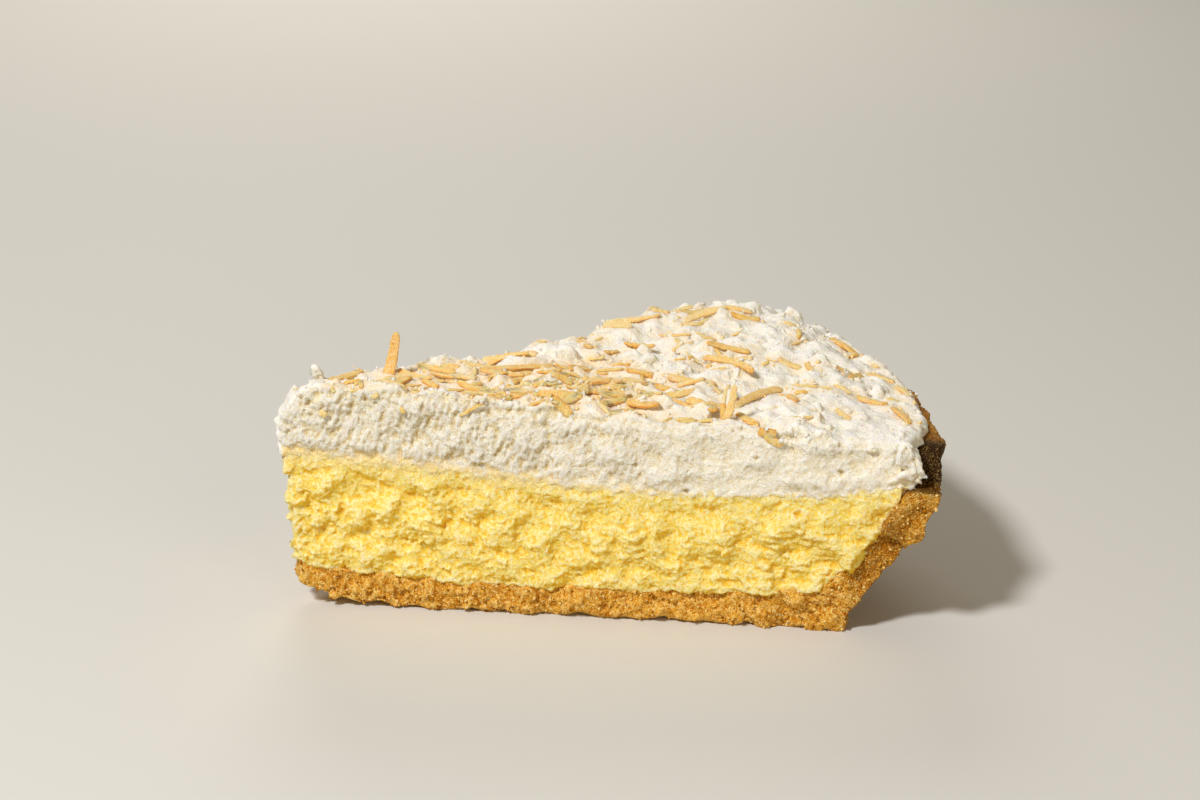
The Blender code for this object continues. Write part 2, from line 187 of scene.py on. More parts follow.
# Materials, as (roughness, specular, subsurface weight and its reach in mm for red, green and blue,
# strength and size in mm of the flecks, size and height in mm of the grain)
LOOKS = {
    "crumb crust": (0.6, 0.14, 0.1, (0.4, 0.2, 0.1), 0.68, 0.26, 0.26, 0.32),
    "custard": (0.5, 0.16, 0.6, (1.2, 1.0, 0.22), 0.55, 0.26, 0.34, 0.3),
    "whipped cream": (0.5, 0.22, 0.4, (0.8, 0.65, 0.34), 0.6, 0.26, 0.36, 0.28),
    "coconut crumb": (0.5, 0.3, 0.25, (0.6, 0.35, 0.15), 0.2, 0.3, 0.3, 0.1),
    "toasted coconut": (0.5, 0.2, 0.6, (1.0, 0.62, 0.2), 0.5, 0.24, 0.28, 0.2),
}

# Soft lamps, as (name, place, size, watts, colour), all aimed at one point, and the light all round
LAMPS = (
    ("key", (-0.55, -0.38, 0.76), 0.16, 8.3, (1.0, 0.968, 0.925)),
    ("fill", (0.25, -0.8, 0.35), 0.6, 1.5, (1.0, 0.85, 0.6)),
    ("back", (0.1, 0.76, 0.42), 0.4, 2.2, (1.0, 0.95, 0.84)),
)
LAMPS_AIM = Vector((0, 0, 0.02))
ROUND_COLOUR, ROUND_STRENGTH = (1.0, 0.86, 0.62, 1), 0.14
FLOOR_COLOUR, FLOOR_ROUGHNESS = (0.70, 0.70, 0.69, 1), 0.8

# The camera's place, its turn, dip and tilt in degrees, and its lens in mm
CAMERA_AT = (-0.07513 - AXIS_TO_ORIGIN, -0.46327, 0.19612)
CAMERA_TURNS = (-16, 18.691, -0.57)
CAMERA_LENS = 85


def smooth(points, x):
    """Height at x of a curve through (x, y) points that never passes above or below its points."""
    xs = [p[0] for p in points]
    ys = [p[1] for p in points]
    last = len(xs) - 2
    slopes = [(ys[i + 1] - ys[i]) / (xs[i + 1] - xs[i]) for i in range(last + 1)]

    def tangent(i):
        if i == 0 or i > last:
            return slopes[min(i, last)]
        before, after = slopes[i - 1], slopes[i]
        return 2 * before * after / (before + after) if before * after > 0 else 0.0

    x = min(max(x, xs[0]), xs[-1])
    i = min(sum(x >= k for k in xs[1:]), last)
    step = xs[i + 1] - xs[i]
    t = (x - xs[i]) / step
    bend_in = (t**3 - 2 * t**2 + t) * tangent(i) * step
    bend_out = (t**3 - t**2) * tangent(i + 1) * step
    rise = t * t * (3 - 2 * t)
    return ys[i] + (ys[i + 1] - ys[i]) * rise + bend_in + bend_out


def along(line, t):
    radius = smooth([(p[0], p[1]) for p in line], t)
    height = smooth([(p[0], p[2]) for p in line], t)
    return Vector((radius * MM, height * MM))


def ease(t):
    t = min(max(t, 0.0), 1.0)
    return t * t * (3 - 2 * t)


def patch(u, v, low, high, inner, outer):
    """The point at u along and v up a face bounded by four curves."""
    across = low(u).lerp(high(u), v) + inner(v).lerp(outer(v), u)
    corners = low(0).lerp(low(1), u).lerp(high(0).lerp(high(1), u), v)
    return across - corners


def straight(start, end):
    return lambda t: start.lerp(end, t)


def in_plan(radius, height, w):
    turn = w * HALF_ANGLE
    blunt = w * TIP_HALF_WIDTH * exp(-max(radius, 0.0) / TIP_FADE)
    x = radius * cos(turn) - AXIS_TO_ORIGIN
    return Vector((x, radius * sin(turn) + blunt, height))


def outward(w):
    turn = w * HALF_ANGLE
    return Vector((-sin(turn), cos(turn), 0)) * (1 if w > 0 else -1)


FRONT, REAR = np.array(outward(-1)), np.array(outward(1))


def from_cut(point, w, radius, shift, across):
    step = (radius + TIP_HALF_WIDTH) * 2 * HALF_ANGLE / across
    return point + outward(w) * max(shift, -0.45 * step)


def crags(point, size, depth):
    return depth * noise.fractal(point / size, 1.0, 2.0, 2)


def billow(point, size):
    return 1 - min(noise.voronoi(point / size)[0][0] * 1.5, 1.0)


def block(name, counts, shape):
    """A box with a grid of faces on each side, its points moved to shape(u, v, w)."""
    mesh = bmesh.new()
    bmesh.ops.create_cube(mesh, size=1)
    for axis, cells in ((0, counts[0]), (2, counts[1]), (1, counts[2])):
        edges = [e for e in mesh.edges if abs((e.verts[0].co - e.verts[1].co)[axis]) > 0.5]
        bmesh.ops.subdivide_edges(mesh, edges=edges, cuts=cells - 1, use_grid_fill=True)
    for vert in mesh.verts:
        u, w, v = (c + 0.5 for c in vert.co)
        vert.co = shape(u, v, 2 * w - 1)
    data = bpy.data.meshes.new(name)
    mesh.to_mesh(data)
    mesh.free()
    return data


def at_cut(w):
    return 1.0 if abs(w) > 0.999 else 0.0


def near_front(w, reach, start=0.0):
    return 1 - ease(((w + 1) * HALF_ANGLE / reach - start) / (1 - start))


def crust_point(u, v, w):
    low, high = (lambda t: along(CRUST_OUTSIDE, t)), (lambda t: along(CRUST_INSIDE, t))
    radius, height = patch(u, v, low, high, straight(low(0), high(0)), straight(low(1), high(1)))
    chip_from = (RIM_HEIGHT * MM) - CHIP_DEPTH
    if height > chip_from:
        height -= (height - chip_from) * 0.92 * near_front(w, CHIP_ANGLE, 0.4)
    on_bottom = v < 0.01
    lifted = TIP_LIFT * (1 - ease(radius / TIP_LIFT_REACH)) * (1 - v)
    if on_bottom and at_cut(w) and radius < 97 * MM:
        rough = 1 + 0.8 * noise.noise(Vector((radius / (6 * MM), w, 3)))
        lifted = max(lifted, BASE_EDGE_LIFT * rough)
    point = in_plan(radius, height + lifted, w)
    if at_cut(w):
        flake = ease((height - 17 * MM) / (3 * MM)) * (w < 0)
        shift = crags(point, 5 * MM, 1.5 * MM) + (1.4 * flake - 0.4) * MM
        point = from_cut(point, w, radius, shift, CRUST_ACROSS)
    outside = on_bottom and u > 0.6
    if outside:
        away = Vector((point.x + AXIS_TO_ORIGIN, point.y, 0)).normalized()
        point += away * crags(point, 5 * MM, 0.9 * MM)
    return point


def custard_height(radius):
    return smooth(CUSTARD_TOP, radius / MM) * MM


def custard_point(u, v, w):
    lift = Vector((0, -OVERLAP))
    floor_share = 0.585
    inside = Vector((OVERLAP, -OVERLAP * 0.5))
    tip_low = along(CRUST_INSIDE, 0) + lift
    tip_high = Vector((0.6 * MM, custard_height(0) + CREAM_OVERLAP))
    wall_end = 0.91
    end_radius = 107.8 * MM

    def low(t):
        return along(CRUST_INSIDE, t * floor_share) + lift + inside * 0.5 * t

    def high(t):
        radius = tip_high.x + (end_radius - tip_high.x) * t
        return Vector((radius, custard_height(radius) + CREAM_OVERLAP * (1 - 0.4 * t)))

    def wall(t):
        beside = along(CRUST_INSIDE, floor_share + (wall_end - floor_share) * t)
        beside += inside * (0.5 + 0.5 * t) + lift * (1 - t)
        return beside.lerp(high(1), ease((t - 0.75) / 0.25))

    place = patch(u, v, low, high, straight(tip_low, tip_high), wall)
    point = in_plan(place.x, place.y, w)
    if at_cut(w):
        middle = 1 - abs(2 * v - 1) ** 3
        clumps = 0.9 * billow(point, 8 * MM) * MM + crags(point, 4.5 * MM, 1.6 * MM)
        shift = clumps * (0.35 + 0.65 * middle) - 0.5 * MM
        point = from_cut(point, w, place.x, shift, CUSTARD_ACROSS)
    return point


def cream_height(radius, w):
    share = ease((w + 1) / 2)
    front = smooth(CREAM_TOP_FRONT, radius / MM)
    rear = smooth(CREAM_TOP_REAR, radius / MM)
    return (front + (rear - front) * share) * MM


def cream_edge(w):
    return CREAM_EDGE_RADIUS - CREAM_RETREAT * near_front(w, CREAM_RETREAT_ANGLE)


def cream_low(t, w):
    custard_end = 107.2
    turn_up, turn_out = 0.86, 0.93
    if t <= turn_up:
        radius = custard_end * t / turn_up * MM
        return Vector((radius, custard_height(radius) - CREAM_OVERLAP))
    start = Vector((custard_end * MM, custard_height(custard_end * MM) - CREAM_OVERLAP))
    wall = Vector((109.2 * MM, RIM_HEIGHT * MM - 0.4 * OVERLAP))
    if t <= turn_out:
        return start.lerp(wall, (t - turn_up) / (turn_out - turn_up))
    edge = Vector((cream_edge(w) * MM, wall.y))
    return wall.lerp(edge, (t - turn_out) / (1 - turn_out))


def cream_point(u, v, w):
    tip_low, edge_low = cream_low(0, w), cream_low(1, w)
    tip_high = Vector((3.0 * MM, cream_height(0, w)))
    edge_high = Vector(((cream_edge(w) - 0.8) * MM, CREAM_EDGE_TOP * MM))

    def high(t):
        radius = tip_high.x + (edge_high.x - tip_high.x) * t
        settle = ease((t - 0.93) / 0.07)
        return Vector((radius, cream_height(radius, w) * (1 - settle) + edge_high.y * settle))

    def tip(t):
        bulge = Vector((-2.2 * MM * sin(pi * t**1.2), 0))
        return tip_low.lerp(tip_high, t) + bulge

    radius, height = patch(u, v, lambda t: cream_low(t, w), high, tip, straight(edge_low, edge_high))
    point = in_plan(radius, height, w)
    lumps = billow(point, 10 * MM) * 2.4 + billow(point + Vector((1, 0, 0)), 5.5 * MM) * 1.3
    inner = ease((cream_edge(w) - 1 - radius / MM) / 12)
    point.z += (lumps - 1.5 - at_cut(w)) * (0.2 + 0.8 * inner) * v**2 * MM
    if at_cut(w):
        depth = crags(point, 6 * MM, 1.3 * MM) * min(1.0, v * 4 + 0.2)
        point = from_cut(point, w, radius, depth - 0.6 * MM * (v > 0.999), CREAM_ACROSS)
    return point


# Noise on whole arrays of points


def cell_hash(cell, seed):
    """A 32-bit number for each whole-numbered cell."""
    c = cell.astype(np.int64).astype(np.uint32)
    h = c[:, 0] * np.uint32(73856093) ^ c[:, 1] * np.uint32(19349663) ^ c[:, 2] * np.uint32(83492791)
    h = h ^ np.uint32(seed * 7919)
    h = (h ^ (h >> np.uint32(13))) * np.uint32(1274126177)
    h = (h ^ (h >> np.uint32(16))) * np.uint32(2246822519)
    return h ^ (h >> np.uint32(15))


def three_shares(h):
    """Three numbers from 0 to 1 out of each 32-bit number."""
    return np.stack([(h >> np.uint32(k)) & np.uint32(1023) for k in (0, 10, 20)], axis=1) / 1023


def waves(p, seed):
    """Smooth noise from about -1 to 1 with lumps one unit across."""
    base = np.floor(p)
    f = p - base
    fade = f * f * f * (f * (f * 6 - 15) + 10)
    total = np.zeros(len(p))
    for corner in product((0, 1), repeat=3):
        k = np.array(corner)
        slope = three_shares(cell_hash(base + k, seed)) * 2 - 1
        weight = np.prod(np.where(k == 1, fade, 1 - fade), axis=1)
        total += weight * np.einsum("ij,ij->i", f - k, slope)
    return total * 1.5


def layered(p, seed, layers):
    total, share = np.zeros(len(p)), 1.0
    for i in range(layers):
        total += share * waves(p * 2.03**i + i * 17.3, seed + i)
        share *= 0.5
    return total


def ridged(p, seed):
    """Noise with sharp crests, from about 0 to 1."""
    total, share = np.zeros(len(p)), 0.65
    for i in range(2):
        total += share * (1 - np.minimum(np.abs(waves(p * 2.1**i + i * 9.7, seed + i)) * 2.2, 1))
        share *= 0.5
    return total


def grains(p, seed):
    """How far each point is from the nearest grain's middle, and a number of that grain's own."""
    base = np.floor(p)
    near, own = np.full(len(p), 9.0), np.zeros(len(p))
    for offset in product((-1, 0, 1), repeat=3):
        cell = base + np.array(offset)
        h = cell_hash(cell, seed)
        far = np.linalg.norm(p - cell - three_shares(h), axis=1)
        closer = far < near
        near = np.where(closer, far, near)
        own = np.where(closer, (h >> np.uint32(5) & np.uint32(4095)) / 4095, own)
    return near, own


def ramp(x, low, high):
    t = np.clip((x - low) / (high - low), 0, 1)
    return t * t * (3 - 2 * t)


def fall(x, low, high):
    return 1 - ramp(x, low, high)


# Meshes as arrays


def triples(data, name):
    """The points or normals of a mesh as an array."""
    values = np.empty(len(data) * 3, np.float32)
    data.foreach_get(name, values)
    return values.reshape(-1, 3).astype(np.float64)


def points_of(mesh):
    return triples(mesh.vertices, "co")


def normals_of(mesh):
    return triples(mesh.vertex_normals, "vector")


def move_points(mesh, co):
    mesh.vertices.foreach_set("co", co.astype(np.float32).ravel())
    mesh.update()


def curve_heights(line):
    """Radii and heights in mm along a profile, for looking one up from the other."""
    points = [along(line, t) / MM for t in np.linspace(0, 1, 160)]
    return np.array([p.x for p in points]), np.array([p.y for p in points])


def band(height, r):
    """Heights in mm at an array of radii in mm, from a function of one radius in metres."""
    xs = np.linspace(0, 116, 117)
    return np.interp(r, xs, [height(x * MM) / MM for x in xs])


def custard_band(r):
    return band(custard_height, r)


def cream_band(r):
    """Height of the cream's top at the front cut."""
    return band(lambda x: cream_height(x, -1), r)


def crust_normal(r):
    """Outward and upward shares of the direction square to the crust's inner face at each radius."""
    radii, heights = curve_heights(CRUST_INSIDE)
    slope = np.interp(r, radii, np.gradient(heights, radii))
    length = np.sqrt(1 + slope**2)
    return -slope / length, 1 / length


def above_crust(r, z):
    """How far in mm each point is inside the crust's inner face, square to it."""
    radii, heights = curve_heights(CRUST_INSIDE)
    return (z - np.interp(r, radii, heights)) * crust_normal(r)[1]


class Skin:
    """Where each point of a mesh lies on the slice: millimetres, radius, depth and which face."""

    def __init__(self, mesh):
        co = points_of(mesh)
        self.co = co
        self.n = normals_of(mesh)
        self.p = co / MM
        x, y = co[:, 0] + AXIS_TO_ORIGIN, co[:, 1]
        self.r = np.hypot(x, y) / MM
        self.turn = np.degrees(np.arctan2(y, x))
        self.z = co[:, 2] / MM
        self.cut = np.maximum(ramp(self.n @ FRONT, 0.35, 0.75), ramp(self.n @ REAR, 0.35, 0.75))
        self.up = ramp(self.n[:, 2], 0.3, 0.7)
        self.down = ramp(-self.n[:, 2], 0.5, 0.9)
        axis = np.array([-AXIS_TO_ORIGIN, 0, 0])
        blunt = TIP_HALF_WIDTH / MM * cos(HALF_ANGLE) * np.exp(-self.r * MM / TIP_FADE)
        self.behind_front = blunt - ((co - axis) @ FRONT) / MM
        self.behind_rear = blunt - ((co - axis) @ REAR) / MM
        self.depth = np.minimum(self.behind_front, self.behind_rear)
        self.away = np.where((self.behind_front < self.behind_rear)[:, None], FRONT, REAR)

    def sunk(self, amount):
        """How far each point moves when the skin near the cuts goes in by the amount."""
        return -self.away * (amount * fall(self.depth, 1.0, 3.5))[:, None]

    def stretched(self, along_cut, into_cut, high, slant=0.0):
        """Points scaled along the cut, into it and upwards, leaning by the slant."""
        x = (self.r - slant * self.z) / along_cut
        return np.stack([x, self.behind_front / into_cut, self.z / high], axis=1)


def linked(name, data):
    """A new object with that data, in the scene."""
    obj = bpy.data.objects.new(name, data)
    bpy.context.scene.collection.objects.link(obj)
    return obj


def bake(obj):
    """Gives the object the mesh that its modifiers make of it."""
    mesh = bpy.data.meshes.new_from_object(obj.evaluated_get(bpy.context.evaluated_depsgraph_get()))
    mesh.name = obj.name
    obj.modifiers.clear()
    obj.data = mesh


def fused(name, base, lumps, seed, flat, voxel):
    """The base and its lumps as one even surface."""
    joined = bmesh.new()
    for mesh in (base, blobs("lumps", *zip(*lumps), seed, flat)):
        joined.from_mesh(mesh)
    data = bpy.data.meshes.new(name)
    joined.to_mesh(data)
    joined.free()
    obj = linked(name, data)
    remesh = obj.modifiers.new("even", "REMESH")
    remesh.mode = "VOXEL"
    remesh.voxel_size = voxel
    remesh.adaptivity = 0
    bake(obj)
    return obj


def lighten(obj, hidden):
    """Leaves the object at most MOST_TRIANGLES, thinning hidden points before those that show."""
    now = sum(len(p.vertices) - 2 for p in obj.data.polygons)
    if now > MOST_TRIANGLES:
        group = obj.vertex_groups.new(name="hidden")
        group.add(list(range(len(hidden))), SHOWN_WEIGHT, "REPLACE")
        group.add(np.flatnonzero(hidden).tolist(), 1.0, "REPLACE")
        fewer = obj.modifiers.new("fewer", "DECIMATE")
        fewer.ratio = MOST_TRIANGLES / now
        fewer.vertex_group = "hidden"
        fewer.vertex_group_factor = SHOWN_FACTOR
        bake(obj)
        obj.vertex_groups.clear()


def ball_shape(subdivisions):
    ball = bmesh.new()
    bmesh.ops.create_icosphere(ball, subdivisions=subdivisions, radius=1)
    ball.verts.ensure_lookup_table()
    unit = np.array([v.co for v in ball.verts])
    faces = np.array([[v.index for v in f.verts] for f in ball.faces])
    ball.free()
    return unit, faces


def blobs(name, places, sizes, seed, flat=1.0, subdivisions=2):
    """Uneven little lumps as one mesh, one for each place."""
    unit, faces = ball_shape(subdivisions)
    rng = np.random.default_rng(seed)
    count = len(places)
    spin = np.linalg.qr(rng.normal(size=(count, 3, 3)))[0]
    stretch = rng.uniform(0.6, 1.2, size=(count, 1, 3)) * np.array([1, 1, flat])
    offset = rng.uniform(0, 500, size=(count, 1, 3))
    uneven = 1 + 0.5 * waves((unit[None] * 1.3 + offset).reshape(-1, 3), 5).reshape(count, -1, 1)
    co = np.einsum("nij,nvj->nvi", spin, unit[None] * stretch * uneven) * np.asarray(sizes)[:, None, None]
    co += np.asarray(places)[:, None, :]
    triangles = faces[None] + np.arange(count)[:, None, None] * len(unit)
    mesh = bpy.data.meshes.new(name)
    mesh.from_pydata(co.reshape(-1, 3).tolist(), [], triangles.reshape(-1, 3).tolist())
    return mesh


def temporary(mesh):
    obj = linked("temporary", mesh)
    bpy.context.view_layer.update()
    return obj


def on_top(obj, radius, angle):
    """The point of the top surface at that radius and angle."""
    x, y = radius * cos(angle) - AXIS_TO_ORIGIN, radius * sin(angle)
    hit, place, _, _ = obj.ray_cast(Vector((x, y, 0.1)), Vector((0, 0, -1)))
    return place if hit else Vector((x, y, cream_height(radius, angle / HALF_ANGLE)))


def on_cut(obj, radius, height, side):
    """The point of the front (-1) or rear (1) cut at that radius and height."""
    away = outward(side)
    start = in_plan(radius, height, side) + away * 0.02
    hit, place, _, _ = obj.ray_cast(start, -away, distance=0.03)
    return place if hit else None


def lay_on_cut(obj, rng, low, high, count, size, sink, reach):
    """Lumps on both cuts as (place, size); low and high give the band's heights by radius in m."""
    lumps = []
    for side in (-1, 1):
        for _ in range(count):
            radius = rng.uniform(*reach) * MM
            height = low(radius) + (high(radius) - low(radius)) * rng.random()
            place = on_cut(obj, radius, height, side)
            if place is None:
                continue
            big = (size[0] + (size[1] - size[0]) * rng.random() ** 2) * MM
            lumps.append((place - outward(side) * big * sink, big))
    return lumps


def above_border(skin):
    """How far in mm each point is above the uneven line where custard meets cream."""
    place = flat_place(skin)
    wobble = 0.7 * layered(place / 3.0, 81, 2) + 0.45 * waves(place / 0.9, 83)
    return skin.z - custard_band(skin.r) - wobble


def border_blend(skin, above):
    """0 in plain custard and 1 in plain cream, changing slowly near the tip and quickly near the rim."""
    width = 0.7 + 2.3 * fall(skin.r, 38, 76)
    return ramp(above + 0.8 * layered(flat_place(skin) / 1.2, 88, 2), -width, width)


def flat_place(skin):
    """Points on the cuts by radius and height alone, the same for layers at different depths."""
    return np.stack([skin.r, np.sign(skin.turn) * 60, skin.z], axis=1)


def outward_from_axis(skin):
    """For each point the level direction away from the pie's middle."""
    away = np.stack([skin.co[:, 0] + AXIS_TO_ORIGIN, skin.co[:, 1], 0 * skin.r], axis=1)
    return away / np.linalg.norm(away, axis=1)[:, None]


def crust_rise(skin):
    """How far in mm the crust stands above its inner face at a cut, unevenly and most at the tip."""
    place = flat_place(skin)
    rise = 0.3 + 2.2 * np.exp(-skin.r / 10) + 0.7 * layered(place * np.array([0.24, 1, 0.1]), 86, 2)
    rise += 0.5 * ramp(skin.r, 88, 96) * layered(place / 2.2, 89, 2)
    return (rise + 0.3 * waves(place / 1.1, 87)) * fall(skin.z, 22, 26)


def crust_line(skin):
    """How far in mm each point is above the uneven line where custard meets crust on a cut."""
    return above_crust(skin.r, skin.z) - crust_rise(skin)


def shared_face(skin, above):
    """How near each point is to the border, and how far in it moves so that both layers meet in one face."""
    place = flat_place(skin)
    face = 0.25 + 0.35 * layered(place / 1.7, 84, 2) + 0.16 * waves(place / 0.55, 85)
    near = fall(np.abs(above), 0.7, 3.4)
    return near, (face - skin.depth) * near


def spread_out(mesh, steps, share=0.75):
    """Each point's place after moving it toward its neighbours' mean by that share, step by step."""
    ends = np.empty(len(mesh.edges) * 2, np.int32)
    mesh.edges.foreach_get("vertices", ends)
    a, b = ends[::2], ends[1::2]
    mean = points_of(mesh)
    total = len(mean)
    count = np.bincount(ends, minlength=total)[:, None]
    for _ in range(steps):
        beside = [np.bincount(a, mean[b, k], total) + np.bincount(b, mean[a, k], total) for k in range(3)]
        mean = mean + share * (np.stack(beside, axis=1) / count - mean)
    return mean


def hollows(mesh, steps):
    """How far each point lies below the mean of the surface round it, 1 being the usual amount."""
    below = np.einsum("ij,ij->i", spread_out(mesh, steps) - points_of(mesh), normals_of(mesh))
    return below / below.std()


def turned_from_key_lamp(mesh, skin):
    """How far each point of a shaped mesh turns down and to the right of the plain face it belongs to, away
    from the key lamp; used for painted shade.
    """
    plain = skin.cut[:, None] * skin.away + (1 - skin.cut[:, None]) * np.array([0, 0, 1])
    return (normals_of(mesh) - plain) @ np.array([0.55, 0.35, -0.76])


def pitted(skin):
    """How deep in mm the small pits go at each point of the front cut."""
    depth, uneven = np.zeros(len(skin.r)), 0.35 * waves(skin.p / 0.5, 71)
    for radius, height, size in PITS:
        far = np.hypot(skin.r - radius, (skin.z - height) * 1.25) / size + uneven
        depth += size * 1.1 * fall(far, 0.1, 1.0) * (skin.behind_front < 4)
    return depth


def srgb(*channels):
    """Linear colour of an sRGB colour given from 0 to 255."""
    c = np.array(channels) / 255
    return np.where(c <= 0.04045, c / 12.92, ((c + 0.055) / 1.055) ** 2.4)


def mixed(a, b, t):
    return a + (b - a) * t[:, None]


def coated(colour, *coats):
    """The colour with each coat's tint mixed in by that coat's share."""
    for tint, share in coats:
        colour = mixed(colour, tint, share)
    return colour


def paint(mesh, colour):
    """Stores a colour for each point."""
    layer = mesh.color_attributes.new("tint", "FLOAT_COLOR", "POINT")
    rgba = np.ones((len(colour), 4), np.float32)
    rgba[:, :3] = np.clip(colour, 0, 1)
    layer.data.foreach_set("color", rgba.ravel())


def with_inputs(node, values):
    """The node with those values on its sockets."""
    for socket, value in values.items():
        node.inputs[socket].default_value = value
    return node


def food(name):
    """A material that takes its colour from the points and adds fine flecks and grain."""
    roughness, specular, subsurface, radius, fleck, fleck_size, grain_size, grain = LOOKS[name]
    made = bpy.data.materials.new(name)
    made.use_nodes = True
    nodes, links = made.node_tree.nodes, made.node_tree.links
    shader = with_inputs(nodes["Principled BSDF"], {"Roughness": roughness, "Specular IOR Level": specular})
    with_inputs(
        shader, {"Subsurface Weight": subsurface, "Subsurface Radius": radius, "Subsurface Scale": MM}
    )
    place = nodes.new("ShaderNodeTexCoord")

    def speckle(size, detail):
        texture = with_inputs(nodes.new("ShaderNodeTexNoise"), {"Scale": 1 / (size * MM), "Detail": detail})
        links.new(place.outputs["Object"], texture.inputs["Vector"])
        return texture.outputs["Fac"]

    limits = {"From Min": 0.3, "From Max": 0.7, "To Min": 1 + fleck, "To Max": 1 - fleck}
    spread = with_inputs(nodes.new("ShaderNodeMapRange"), limits)
    links.new(speckle(fleck_size, 3), spread.inputs["Value"])
    tint = nodes.new("ShaderNodeAttribute")
    tint.attribute_name = "tint"
    shade = nodes.new("ShaderNodeGamma")
    links.new(tint.outputs["Color"], shade.inputs["Color"])
    links.new(spread.outputs["Result"], shade.inputs["Gamma"])
    links.new(shade.outputs["Color"], shader.inputs["Base Color"])
    relief = with_inputs(nodes.new("ShaderNodeBump"), {"Strength": 1.0, "Distance": grain * MM})
    links.new(speckle(grain_size, 2), relief.inputs["Height"])
    links.new(relief.outputs["Normal"], shader.inputs["Normal"])
    return made


def dress(obj, node, made):
    obj.data.materials.clear()
    obj.data.materials.append(made)
    obj.data.shade_smooth()
    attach(obj, "root")
    if node:
        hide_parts(node)


def scattered(skin, likely, count, size, seed):
    """Places and sizes for crumbs lying on a surface, more of them where they are likely."""
    rng = np.random.default_rng(seed)
    chosen = rng.choice(len(likely), size=count, replace=False, p=likely / likely.sum())
    sizes = (size[0] + (size[1] - size[0]) * rng.random(count) ** 2) * MM
    places = skin.co[chosen] + skin.n[chosen] * (sizes * rng.uniform(-0.1, 0.5, count))[:, None]
    return places, sizes


def crumbs(name, places, sizes, seed, colours, made, subdivisions=2, flat=0.8):
    """Loose crumbs as one piece, each of one of the colours."""
    places[:, 2] = np.maximum(places[:, 2], sizes * 0.9)
    mesh = blobs(name, places, sizes, seed, flat, subdivisions)
    pick = colours[np.random.default_rng(seed).integers(0, len(colours), len(places))]
    paint(mesh, np.repeat(pick, len(mesh.vertices) // len(places), axis=0))
    dress(linked(name, mesh), None, made)


# Crust


